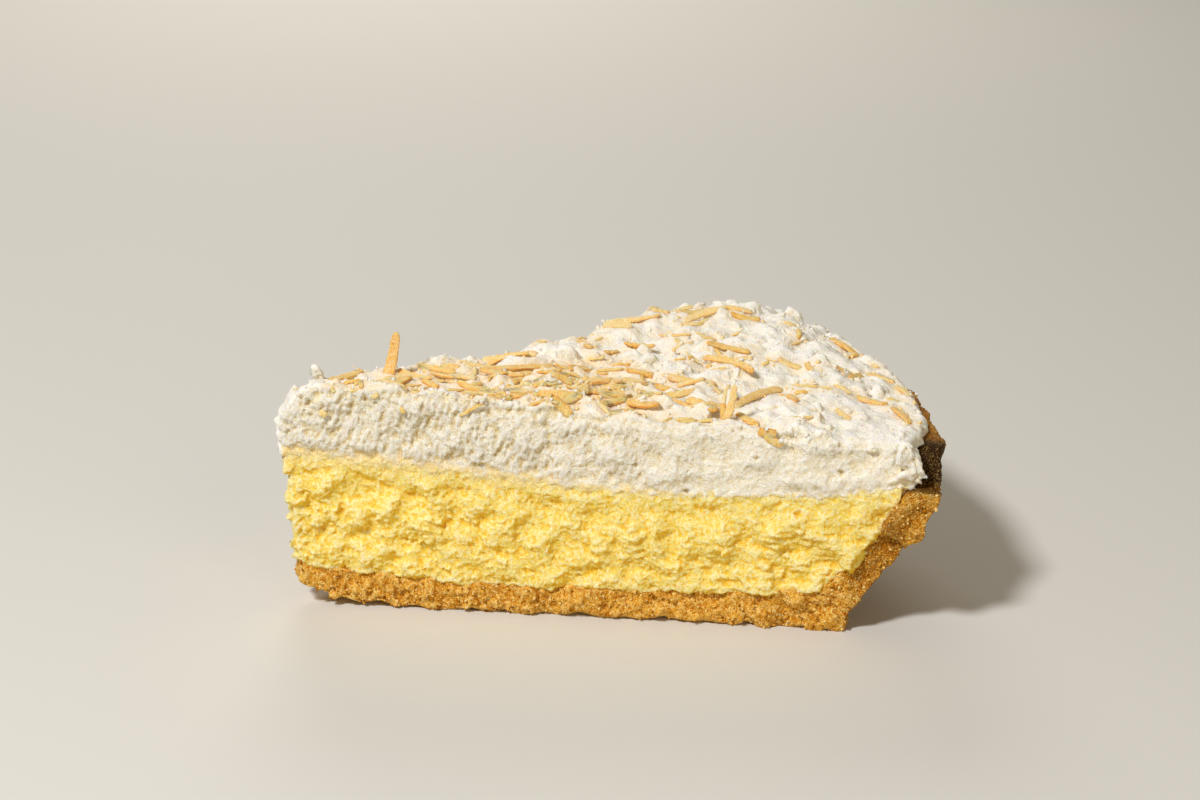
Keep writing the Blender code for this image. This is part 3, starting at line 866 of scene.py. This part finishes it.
def make_crust():
    base = block("crust_base", CELLS["crust"], crust_point)
    obj = temporary(base)
    rng = random.Random(3)
    lumps = lay_on_cut(obj, rng, lambda r: 0.6 * MM, lambda r: 4.5 * MM, *CRUST_LUMPS)
    bpy.data.objects.remove(obj)
    for radius, height, size in CRUST_CHUNKS:
        lumps.append((in_plan(radius * MM, height * MM, -1) - outward(-1) * 0.5 * size * MM, size * MM))
    crust = fused("crust_crumb", base, lumps, 4, 1.0, VOXEL["crust"])
    mesh = crust.data
    skin = Skin(mesh)
    p, n, r, z = skin.p, skin.n, skin.r, skin.z
    inside = above_crust(r, z)
    line = crust_line(skin)
    by_cut = fall(skin.depth, 1.0, 4.0)
    coarse = layered(p / 3.2, 11, 2)
    clumps, _ = grains(p / 1.9, 16)
    far, own = grains(p / 0.85, 12)
    far2, own2 = grains(p / 0.5 + 7, 13)
    outer = (1 - skin.cut) * ramp(r, 98, 104)
    lift = 0.24 * coarse + 0.14 * (0.5 - clumps) + 0.32 * (0.5 - far) + 0.36 * (0.5 - far2)
    lift += 0.16 * (own - 0.5)
    amount = np.where(skin.down > 0.5, 0.1, 1.0) * (1 - 0.45 * outer)
    amount = np.where((z < 0.6) & (skin.down > 0.4), 0.0, amount)
    sunk = skin.sunk(1.1 * ramp(line, 0.3, 1.2) * (z < 26))
    wall = ramp(r, 98, 101) * (skin.behind_front < 5)
    edge = 16.4 + 0.75 * np.abs(r - 108.8) + 0.7 * waves(p / 2.6, 17)
    recess = wall * ramp(z, 7, 10) * fall(z, edge - 0.7, edge + 0.2)
    recess *= 0.6 + 0.4 * ramp(-line, 0.0, 1.8)
    chunk = wall * ramp(z, edge - 0.2, edge + 0.7) * fall(z, 24.5, 28)
    step = FRONT * ((0.5 * chunk - 1.2 * recess) * fall(skin.behind_front, 1.5, 4))[:, None]
    around = outward_from_axis(skin)
    bulge = around * (1.3 * chunk * ramp(-inside, 1, 5) * fall(skin.behind_front, 3, 6))[:, None]
    co = skin.co + (n * (lift * amount)[:, None] + sunk + step + bulge) * MM
    away_r, away_z = crust_normal(r)
    rise = crust_rise(skin) * ramp(inside, -3.0, -0.2) * by_cut
    co += around * (rise * away_r)[:, None] * MM
    raised = rise * away_z
    below = np.clip(1 - z / 6, 0, 1)
    raised += (2.4 * np.exp(-np.maximum(r - 2.2, 0) / 1.8) + 1.1 * fall(r, 8, 26)) * below
    sag = 0.3 - 0.5 * fall(r, 80, 92)
    raised += (1.4 * waves(flat_place(skin) * np.array([0.2, 1, 0]), 18) - sag) * below * by_cut
    co[:, 2] = np.maximum(co[:, 2] + raised * MM, 0)
    move_points(mesh, co)
    fine, wide = hollows(mesh, 4), hollows(mesh, 20)
    golden, pale, brown, dark = srgb(228, 168, 50), srgb(250, 210, 116), srgb(192, 122, 8), srgb(112, 62, 8)
    # The crust's outer wall near the rim: darker brown, partly its own baked colour and partly painted shade
    # on the side turned from the key lamp
    baked_and_shaded = (1 - skin.cut) * ramp(r, 96, 101)
    # The broken face of the rim behind the front corner, which lies in shadow; it is painted nearly black as
    # painted shade
    shaded_broken_rim = ramp(z, 26.2, 27.6) * ramp(-skin.turn, 15.5, 18.5) * ramp(r, 105, 107)
    colour = coated(
        golden,
        (pale, ramp(own, 0.6, 0.95) * 0.6),
        (pale, ramp(own2, 0.7, 0.95) * 0.5),
        # painted light: paler on ridges
        (pale, ramp(-fine, 0.3, 1.8) * 0.5),
        (brown, ramp(1 - own2, 0.62, 0.95) * 0.6),
        (brown, ramp(-coarse, 0.05, 0.7) * 0.4),
        # painted shade: browner in fine and wide hollows (this line and the next)
        (brown, ramp(fine, 0.3, 1.8) * 0.6),
        (brown, ramp(wide, 0.5, 2.2) * 0.5),
        # painted shade: darker in the recess under the chunk
        (brown * 0.75, recess * by_cut * 0.6),
        # baked colour with painted shade: the outer wall darker
        (brown * 0.6, baked_and_shaded * 0.8),
        (dark, baked_and_shaded * ramp(layered(p / 7, 15, 2), -0.2, 0.7) * 0.55),
        # painted shade: the lower wall at the front cut darker
        (brown * 0.6, wall * by_cut * (1 - shaded_broken_rim) * 0.4),
        # painted shade: the broken rim face nearly black
        (dark * 0.14, shaded_broken_rim * 0.97),
    )
    paint(mesh, colour)
    hidden = (inside > -0.6) & (skin.depth > 2.5) & (z < 31)
    likely = (0.05 + skin.cut) * (amount > 0.5) * (line < 0.2) * (1 - shaded_broken_rim)
    made = food("crumb crust")
    colours = np.array([pale, golden, golden, golden, brown, srgb(168, 104, 12), srgb(250, 212, 128)])
    places, sizes = scattered(Skin(mesh), likely, *CRUST_CRUMBS, 61)
    crumbs("crust_crumbs", places, sizes, 62, colours, made, 1)
    lighten(crust, hidden)
    dress(crust, "crust", made)


# Custard


BORDER = srgb(251, 225, 156)


def make_custard():
    base = block("custard_base", CELLS["custard"], custard_point)
    obj = temporary(base)
    rng = random.Random(5)
    radii, heights = curve_heights(CRUST_INSIDE)
    foot = lambda r: (np.interp(r / MM, radii, heights) + 1.0) * MM
    head = lambda r: custard_height(r) - 6 * MM
    lumps = lay_on_cut(obj, rng, foot, head, *CUSTARD_LUMPS)
    bpy.data.objects.remove(obj)
    for radius, sideways, height, size in TIP_LUMPS:
        lumps.append((Vector((radius * MM - AXIS_TO_ORIGIN, sideways * MM, height * MM)), size * MM))
    custard = fused("custard_torn", base, lumps, 6, 0.6, VOXEL["custard"])
    mesh = custard.data
    skin = Skin(mesh)
    p, n, r = skin.p, skin.n, skin.r
    above = above_border(skin)
    near, flush = shared_face(skin, above)
    over = skin.z - custard_band(r)
    left = fall(r, 58, 86)
    low = fall(over + 1.5 * waves(p / 7, 20), -8.5, -4.0)
    crag = layered(skin.stretched(3.8, 3.2, 2.4, 0.3), 21, 3)
    curds, _ = grains(p / 1.8, 22)
    streaks = layered(skin.stretched(7.0, 2.5, 0.95), 24, 2)
    flake = ridged(p / 1.1, 26)
    fine = layered(p / 0.55, 27, 2)
    far, own2 = grains(p / 0.6 + 5, 23)
    rough = low * left
    lift = rough * (0.27 * crag + 0.17 * (0.5 - curds)) + (1 - rough) * 0.08 * crag
    lift += (1 - left) * low * 0.21 * streaks
    lift += (0.09 + 0.06 * rough) * (flake - 0.45) + 0.18 * fine + 0.22 * (0.5 - far)
    lift = lift * (1 - 0.75 * near) - pitted(skin)
    aside = np.stack([waves(p / 1.1 + 31 * k, 28) for k in range(3)], axis=1)
    sunk = skin.sunk(flush + 1.3 * ramp(above, 0.0, 1.2) + 1.3 * ramp(-crust_line(skin), 0.0, 1.0))
    bare = np.maximum(skin.cut, fall(skin.depth, 1.5, 3.5) * ramp(r, 94, 98))
    bare = np.maximum(bare, fall(r, 3.0, 7.0))
    co = skin.co + ((n * lift[:, None] + aside * 0.2) * bare[:, None] + sunk) * MM
    move_points(mesh, co)
    pores, dents = hollows(mesh, 4), hollows(mesh, 22)
    # sides turned away from the key lamp, for painted shade
    shaded_side = turned_from_key_lamp(mesh, skin)
    bright, light = srgb(255, 228, 126), srgb(255, 237, 184)
    deep, shade_orange = srgb(254, 211, 64), srgb(253, 197, 34)
    lit = fall(shaded_side, 0.0, 0.45)
    drawn = layered(skin.stretched(0.7, 1.2, 2.6, 0.2), 29, 2)
    smears = ramp(layered(p / 0.7, 19, 2), 0.1, 0.7) * ramp(over, -6.5, -1.0)
    colour = coated(
        bright,
        # painted highlight: paler on bumps and grains that face the key lamp
        (light, ramp(-dents, 0.2, 1.8) * 0.7 * lit),
        (light, ramp(-pores, 0.3, 1.8) * 0.6 * lit),
        (light, ramp(own2, 0.65, 0.95) * 0.4 * lit),
        # painted shade: deeper yellow in wide and fine hollows
        (deep, ramp(dents, 0.2, 1.6) * 0.5),
        (deep, ramp(pores, 0.4, 1.8) * 0.4),
        (deep, ramp(1 - own2, 0.7, 0.95) * 0.3),
        # painted shade: orange in the deepest hollows
        (shade_orange, ramp(dents, 1.2, 2.6) * 0.55),
        # painted shade: deeper yellow and orange on sides turned from the key lamp
        (deep, ramp(shaded_side, 0.1, 0.4) * 0.55),
        (shade_orange, ramp(shaded_side, 0.25, 0.7) * 0.7),
        (deep, ramp(drawn, 0.1, 0.8) * 0.5 * (1 - low) * left),
        # Pale smears of cream, the custard's own marks, shown more where lit: partly painted light
        (srgb(254, 240, 200), smears * 0.75 * (0.2 + 0.8 * lit)),
        (BORDER, ramp(border_blend(skin, above), 0.0, 0.5) * 0.8),
    )
    paint(mesh, colour)
    hidden = (skin.depth > 2.2) & (r > 5)
    made = food("custard")
    lighten(custard, hidden)
    dress(custard, "custard", made)


# Whipped cream


def shape_cream():
    """The cream without its colours, with its skin before the relief and the grains' own numbers."""
    base = block("cream_base", CELLS["cream"], cream_point)
    obj = temporary(base)
    rng = random.Random(8)
    foot = lambda r: cream_height(r, -1) - 6 * MM
    head = lambda r: cream_height(r, -1) - 0.3 * MM
    lumps = lay_on_cut(obj, rng, foot, head, *CREAM_LUMPS)
    for _ in range(TOP_LUMPS):
        radius = 112 * sqrt(rng.random())
        angle = rng.uniform(-HALF_ANGLE, HALF_ANGLE)
        rough = noise.noise(Vector((radius * cos(angle) / 14, radius * sin(angle) / 14, 2)))
        if rng.random() > 0.5 + 1.3 * rough:
            continue
        place = on_top(obj, radius * MM, angle)
        margin = radius * (HALF_ANGLE - abs(angle))
        size = min(0.6 + 2.4 * rng.random() ** 2.4, 0.5 + (0.45 if angle < 0 else 0.28) * margin) * MM
        lumps.append((place - Vector((0, 0, size * rng.uniform(0.25, 0.75))), size))
    for radius, height, size in RIM_CURDS:
        lumps.append((in_plan(radius * MM, height * MM, -1) - outward(-1) * 0.5 * MM, size * MM))
    radius, turn, height, reach, lean, thick = CREAM_STRAND
    start = in_plan(radius * MM, height * MM, radians(turn) / HALF_ANGLE)
    for t in (k / 11 for k in range(12)):
        lumps.append((start + Vector((lean * t, 0, reach * t)) * MM, thick * MM))
    bpy.data.objects.remove(obj)
    cream = fused("cream_whipped", base, lumps, 9, 0.75, VOXEL["cream"])
    skin = Skin(cream.data)
    loose = (1 - skin.cut) * (1 - skin.down) * ramp(skin.r, 12, 18)
    move_points(cream.data, spread_out(cream.data, 9, 0.7 * loose[:, None]))
    skin = Skin(cream.data)
    p, n, r, cut = skin.p, skin.n, skin.r, skin.cut
    left = fall(r, 30, 80)
    fluff = layered(p / 2.8, 31, 2)
    folds = layered(p / 5.5, 30, 2)
    torn = ridged(p / 3.3, 32)
    fine = layered(p / 0.6, 33, 2)
    far, own = grains(p / 0.85, 34)
    drag = layered(skin.stretched(0.85, 1.5, 3.4, 0.35), 35, 2)
    furrows = ridged(skin.stretched(1.7, 1.6, 5.0, 0.3), 37)
    tufts = layered(p / 1.4, 41, 2)
    cut_face = (0.09 + 0.28 * left) * drag + (0.05 + 0.16 * left) * (furrows - 0.4)
    cut_face += (0.1 + 0.14 * left) * fluff
    cut_face += (0.08 + 0.2 * left) * tufts + (0.16 + 0.06 * left) * fine + (0.2 + 0.05 * left) * (0.5 - far)
    calm = 0.35 + 0.65 * ramp(waves(p / 7.0, 40), -0.3, 0.4)
    top_face = 0.9 * folds + calm * (0.38 * fluff + 0.12 * (torn - 0.4)) + 0.09 * fine + 0.08 * (0.5 - far)
    above = above_border(skin)
    near, flush = shared_face(skin, above)
    face = np.maximum(cut, fall(r, 3.0, 7.0) * (1 - skin.up))
    lift = face * (cut_face * (1 - 0.75 * near) - pitted(skin)) + (1 - face) * top_face
    lift *= np.where(skin.down > 0.5, 0.15, 1.0)
    aside = np.stack([waves(p / 1.2 + 31 * k, 38) for k in range(3)], axis=1)
    aside *= (0.15 - 0.03 * cut)[:, None]
    sunk = skin.sunk(flush + 1.3 * ramp(-above, 0.0, 1.2))
    moved = (n * lift[:, None] + aside) * (1 - skin.down)[:, None]
    by_rim = ramp(r, 106, 110) * fall(skin.behind_front, 3, 8) * ramp(skin.z, 29, 33)
    moved += -outward_from_axis(skin) * (1.3 * by_rim)[:, None]
    move_points(cream.data, skin.co + (moved + sunk) * MM)
    return cream, skin, own


def finish_cream(cream, skin, own, spines):
    """Colours the cream and lays its crumbs; spines are points along the shreds in mm."""
    p, r, cut = skin.p, skin.r, skin.cut
    over = skin.z - custard_band(r)
    pores, dents = hollows(cream.data, 4), hollows(cream.data, 24)
    white, warm = srgb(252, 249, 239), srgb(245, 235, 209)
    shade, beige = srgb(238, 217, 160), srgb(226, 198, 128)
    left = fall(r, 30, 80)
    strong = np.where(cut > 0.5, 0.5 + 0.5 * left, 0.4)
    # sides turned away from the key lamp, for painted shade
    shaded_side = turned_from_key_lamp(cream.data, skin)
    above = above_border(skin)
    by_border = cut * fall(above, 1.0, 6.0)
    colour = coated(
        white,
        # painted shade: warmer and darker in wide and fine hollows (this line and the next four)
        (warm, ramp(dents, -0.8, 0.8) * 0.8),
        (warm, ramp(pores, -0.2, 1.2) * 0.4),
        (shade, ramp(dents, 0.4, 1.8) * 0.55 * strong),
        (shade, ramp(pores, 0.8, 2.2) * 0.35 * strong),
        (beige, ramp(dents, 1.2, 2.8) * 0.6 * strong),
        (white, ramp(own, 0.75, 0.95) * 0.4),
        # painted light: the top whiter than the cut faces
        (srgb(255, 253, 250), (1 - cut) * 0.65),
        # painted shade on sides turned from the key lamp
        (shade, ramp(shaded_side, 0.15, 0.8) * (0.35 + 0.2 * cut)),
        # painted shade: golden in creases near the custard, on the left
        (srgb(244, 212, 136), ramp(dents, 0.0, 1.6) * 0.6 * by_border * left),
    )
    # painted shade: the cut faces darker than the top, a little less near the border on the right
    colour *= 1 - (cut * (0.1 + 0.05 * left) - 0.05 * by_border * (1 - left))[:, None]
    by_top = cut * ramp(skin.z - cream_band(r), -6.0, -0.5) * left
    tree = KDTree(len(spines))
    for i, point in enumerate(spines):
        tree.insert(point, i)
    tree.balance()
    top = np.flatnonzero((1 - cut) * (1 - skin.down) > 0.3)
    near = np.array([tree.find(point)[2] for point in p[top]])
    dusted = np.zeros(len(p))
    dusted[top] = fall(near, 0.8, 3.0) * (0.6 + 0.45 * waves(p[top] / 1.1, 39))
    colour = coated(
        colour,
        (srgb(247, 222, 148), ramp(layered(p / 1.7, 45, 2), 0.0, 0.7) * 0.55 * by_top),
        (BORDER, cut * fall(border_blend(skin, above), 0.5, 1.0)),
        (srgb(248, 209, 144), np.clip(dusted, 0, 1) * (0.8 - 0.35 * ramp(r, 55, 72))),
    )
    paint(cream.data, colour)
    made = food("whipped cream")
    skin.n = normals_of(cream.data)
    skin.co = points_of(cream.data)
    edge = ramp(skin.z - cream_band(r), -4, -0.5) * ramp(3 - skin.depth, 0, 3)
    likely = (1 - skin.down) * (0.5 * (1 - cut) + edge) * (over > 4)
    places, sizes = scattered(skin, likely, *CREAM_CRUMBS, 65)
    rng = np.random.default_rng(64)
    count, size = CREAM_DABS
    dabs = spines[rng.integers(0, len(spines), count)] * MM
    dabs += rng.normal(0, 0.45, dabs.shape) * MM + np.array([0, 0, 0.1 * MM])
    places = np.concatenate([places, dabs])
    sizes = np.concatenate([sizes, rng.uniform(*size, count) * MM])
    colours = np.array([white, white, warm])
    crumbs("cream_crumbs", places, sizes, 66, colours, made, 2, 0.7)
    likely = np.clip(dusted, 0, 1) ** 2 * (1 - cut)
    places, sizes = scattered(skin, likely, *COCONUT_CRUMBS, 67)
    colours = np.array([RAW, IVORY, IVORY, RAW])
    golden = food("coconut crumb")
    crumbs("coconut_crumbs", places, sizes, 68, colours, golden, 1, 0.8)
    lighten(cream, (skin.down > 0.3) & (skin.depth > 2.2))
    dress(cream, "whipped_cream", made)


# Toasted coconut


def shred_points(length, width, thickness, bend, droop, twist, taper, seed, rings, sides):
    """Points and faces of one shred: a thin strip with blunt ends and ragged edges, curving a little."""
    ts = np.linspace(-1, 1, rings)
    angle = np.linspace(0, 2 * pi, sides, endpoint=False)
    square = lambda c: np.sign(c) * np.abs(c) ** 0.6
    ring = np.stack([np.zeros(sides), square(np.cos(angle)) * 0.5, square(np.sin(angle)) * 0.5], axis=1)
    swell = waves(np.stack([ts * length / (2.5 * MM) + seed * 5.3, 0 * ts, 0 * ts], axis=1), 44)
    co = []
    for t, wide in zip(ts, swell):
        broad = (1 - 0.15 * t * t) * (1 + 0.2 * wide) * (1 - taper * t)
        end = sqrt(max(1 - (max(abs(t) - 0.92, 0) / 0.085) ** 2, 0.05))
        thick = thickness * (1 - 0.2 * t * t) * (1 - taper * t) * end
        part = ring * np.array([1, width * broad * end, thick])
        part[:, 2] += 0.1 * width * (np.abs(part[:, 1]) / (0.5 * width)) ** 2
        c, s = cos(twist * t), sin(twist * t)
        y, z = part[:, 1] * c - part[:, 2] * s, part[:, 1] * s + part[:, 2] * c
        y, z = y + bend * length * (1 - t * t), z - droop * length * t * t
        co.append(np.stack([np.full(sides, t * length / 2), y, z], axis=1))
    co = np.concatenate(co)
    uneven = np.stack([layered(co / (0.8 * MM) + seed * 3.1 + k * 50, 40 + k, 2) for k in range(3)], axis=1)
    co = co + uneven * np.array([0.12, 0.13, 0.1]) * MM
    faces = []
    for i in range(rings - 1):
        for j in range(sides):
            a, b = i * sides + j, i * sides + (j + 1) % sides
            faces.append((a, b, b + sides, a + sides))
    faces.append(tuple(range(sides - 1, -1, -1)))
    faces.append(tuple(range((rings - 1) * sides, rings * sides)))
    edge = np.tile(np.abs(ring[:, 1]) * 2, rings)
    return co, faces, np.repeat(ts, sides), edge


def strewn(rng, patches, lengths, stray):
    """Places, headings and lengths of pieces strewn over patches of the top."""
    laid = []
    for radius, middle, spread_along, spread_across, count in patches:
        for _ in range(count):
            r = radius + rng.uniform(-1, 1) * spread_along
            turn = middle + degrees(rng.uniform(-1, 1) * spread_across / radius)
            limit = degrees(HALF_ANGLE) - degrees(2.0 / r)
            turn = min(max(turn, -limit), limit)
            laid.append((r, turn, rng.gauss(-20, stray), rng.uniform(*lengths)))
    return laid


def rest_on(cream, r, turn, heading, length):
    """Height and slope for a shred that lies on the cream along that heading."""
    middle_x = r * MM * cos(radians(turn)) - AXIS_TO_ORIGIN
    middle_y = r * MM * sin(radians(turn))
    ts, zs = [], []
    for t in (-0.4, -0.2, 0, 0.2, 0.4):
        x = middle_x + t * length * MM * cos(radians(heading))
        y = middle_y + t * length * MM * sin(radians(heading))
        hit, place, _, _ = cream.ray_cast(Vector((x, y, 0.1)), Vector((0, 0, -1)))
        if hit and place.z > 30 * MM:
            ts.append(t * length * MM)
            zs.append(place.z)
    if len(zs) < 2:
        return None
    slope, level = np.polyfit(ts, zs, 1)
    above = max(z - (level + slope * t) for t, z in zip(ts, zs))
    return Vector((middle_x, middle_y, level + 0.5 * above)), max(-0.5, min(0.5, slope))


RAW, TOASTED, BROWN, IVORY = srgb(254, 222, 162), srgb(246, 203, 118), srgb(230, 157, 58), srgb(255, 242, 220)


def toast_colours(points, ts, edge, toast):
    mottle = layered(points / (1.3 * MM), 51, 2)
    speck = layered(points / (0.4 * MM), 53, 1)
    ends = np.abs(ts) ** 3
    return coated(
        RAW,
        (TOASTED, np.clip(0.2 + 0.7 * toast + 0.5 * mottle, 0, 1)),
        (IVORY, ends * (0.4 if toast < 0.45 else 0.0)),
        (BROWN, np.clip(ends * (0.1 + 0.5 * toast) + 0.4 * mottle * toast, 0, 0.7)),
        # the strip's side edges browner: partly toasting, partly painted shade
        (BROWN, ramp(edge, 0.6, 1.0) * (0.15 + 0.4 * toast)),
        (IVORY, np.clip(speck - 0.1, 0, 1) * 0.6 * (1 - 0.6 * toast)),
    )


class Shreds:
    """Shreds gathered into one mesh."""

    def __init__(self):
        self.co, self.faces, self.colour, self.spine = [], [], [], []

    def add(self, rng, at, turned, length, width, toast, large=True, bow=0.1, taper=0.0):
        rings, sides = (20, 12) if large else (7, 6)
        bend, droop, twist = rng.uniform(-bow, bow), rng.uniform(-0.05, 0.02), rng.uniform(-0.3, 0.3)
        thickness = min(SHRED_THICKNESS, width * 0.55)
        shape = (length, width, thickness, bend, droop, twist, taper)
        points, quads, ts, edge = shred_points(*shape, len(self.co), rings, sides)
        points = points @ np.array(turned).T + np.array(at)
        start = sum(len(c) for c in self.co)
        self.co.append(points)
        self.faces += [tuple(start + k for k in f) for f in quads]
        self.colour.append(toast_colours(points, ts, edge, toast))
        self.spine.append(points[::sides])

    def lay(self, cream, rng, r, turn, heading, length, width, toast, large=True):
        laid = rest_on(cream, r, turn, heading, length)
        if laid is None:
            return
        at, slope = laid
        lean = rng.uniform(0.1, 0.7) * cos(radians(heading)) + rng.uniform(-0.2, 0.2)
        turned = Euler((lean, -atan(slope), radians(heading))).to_matrix()
        self.add(rng, at + Vector((0, 0, 0.05 * MM)), turned, length * MM, width * MM, toast, large)


def make_coconut(cream):
    rng = random.Random(SHRED_SEED)
    shreds = Shreds()
    for r, turn, heading, climb, length, width, toast in STANDING_SHREDS:
        lift = (sin(radians(climb)) * length * 0.36 + 0.3) * MM
        at = on_top(cream, r * MM, radians(turn)) + Vector((0, 0, lift))
        turned = Euler((1.45, -radians(climb), radians(heading))).to_matrix()
        shreds.add(rng, at, turned, length * MM, width * MM, toast, bow=0.04, taper=0.22)
    level, away = Vector((cos(HALF_ANGLE), -sin(HALF_ANGLE), 0)), outward(-1)
    for r, height, climb, length, width, toast in FACE_SHREDS:
        at = on_cut(cream, r * MM, height * MM, -1)
        way = level * cos(radians(climb)) + Vector((0, 0, sin(radians(climb))))
        turned = Matrix((way, away.cross(way), away)).transposed()
        if at:
            at = at + away * (0.6 if length > 2 else 0.2) * MM
            shreds.add(rng, at, turned, length * MM, width * MM, toast, length > 3)
    for placed in PLACED_SHREDS:
        shreds.lay(cream, rng, *placed)
    for r, turn, heading, length in strewn(rng, SHRED_PATCHES, SHRED_LENGTH, SHRED_STRAY):
        shreds.lay(cream, rng, r, turn, heading, length, rng.uniform(*SHRED_WIDTH), rng.random())
    for r, turn, heading, length in strewn(rng, CHIP_PATCHES, CHIP_LENGTH, CHIP_STRAY):
        shreds.lay(cream, rng, r, turn, heading, length, rng.uniform(*CHIP_WIDTH), rng.random(), False)
    mesh = bpy.data.meshes.new("coconut_shreds")
    mesh.from_pydata(np.concatenate(shreds.co).tolist(), [], shreds.faces)
    mesh.update()
    paint(mesh, np.concatenate(shreds.colour))
    made = food("toasted coconut")
    dress(linked("coconut_shreds", mesh), None, made)
    return np.concatenate(shreds.spine) / MM


# Floor, light and camera


def make_studio():
    mesh = bpy.data.meshes.new("floor")
    grid = bmesh.new()
    bmesh.ops.create_grid(grid, x_segments=1, y_segments=1, size=4)
    grid.to_mesh(mesh)
    grid.free()
    made = bpy.data.materials.new("floor")
    made.use_nodes = True
    shader = made.node_tree.nodes["Principled BSDF"]
    with_inputs(shader, {"Base Color": FLOOR_COLOUR, "Roughness": FLOOR_ROUGHNESS})
    mesh.materials.append(made)
    floor = linked("floor", mesh)
    for name, place, size, watts, colour in LAMPS:
        light = bpy.data.lights.new(name, "AREA")
        light.shape = "DISK"
        light.size, light.energy, light.color = size, watts, colour
        obj = linked(name, light)
        obj.location = place
        obj.rotation_euler = (LAMPS_AIM - Vector(place)).to_track_quat("-Z", "Y").to_euler()
    scene = bpy.context.scene
    scene.world = bpy.data.worlds.new("studio")
    scene.world.use_nodes = True
    sky = scene.world.node_tree.nodes["Background"]
    with_inputs(sky, {"Color": ROUND_COLOUR, "Strength": ROUND_STRENGTH})
    scene.view_settings.view_transform = "Standard"
    scene.view_settings.look = "None"


def make_camera():
    yaw, pitch, roll = (radians(turn) for turn in CAMERA_TURNS)
    level = cos(pitch)
    forward = Vector((-sin(yaw) * level, cos(yaw) * level, -sin(pitch)))
    right = forward.cross(Vector((0, 0, 1))).normalized()
    up = right.cross(forward)
    c, s = cos(roll), sin(roll)
    right, up = right * c - up * s, up * c + right * s
    camera = bpy.data.cameras.new("camera")
    camera.lens, camera.sensor_width = CAMERA_LENS, 36
    camera.clip_start, camera.clip_end = 0.05, 20
    obj = linked("camera", camera)
    turned = Matrix((right, up, -forward)).transposed().to_4x4()
    obj.matrix_world = Matrix.Translation(CAMERA_AT) @ turned
    bpy.context.scene.camera = obj


make_crust()
make_custard()
cream_parts = shape_cream()
bpy.context.view_layer.update()
shred_spines = make_coconut(cream_parts[0])
finish_cream(*cream_parts, shred_spines)
make_studio()
make_camera()
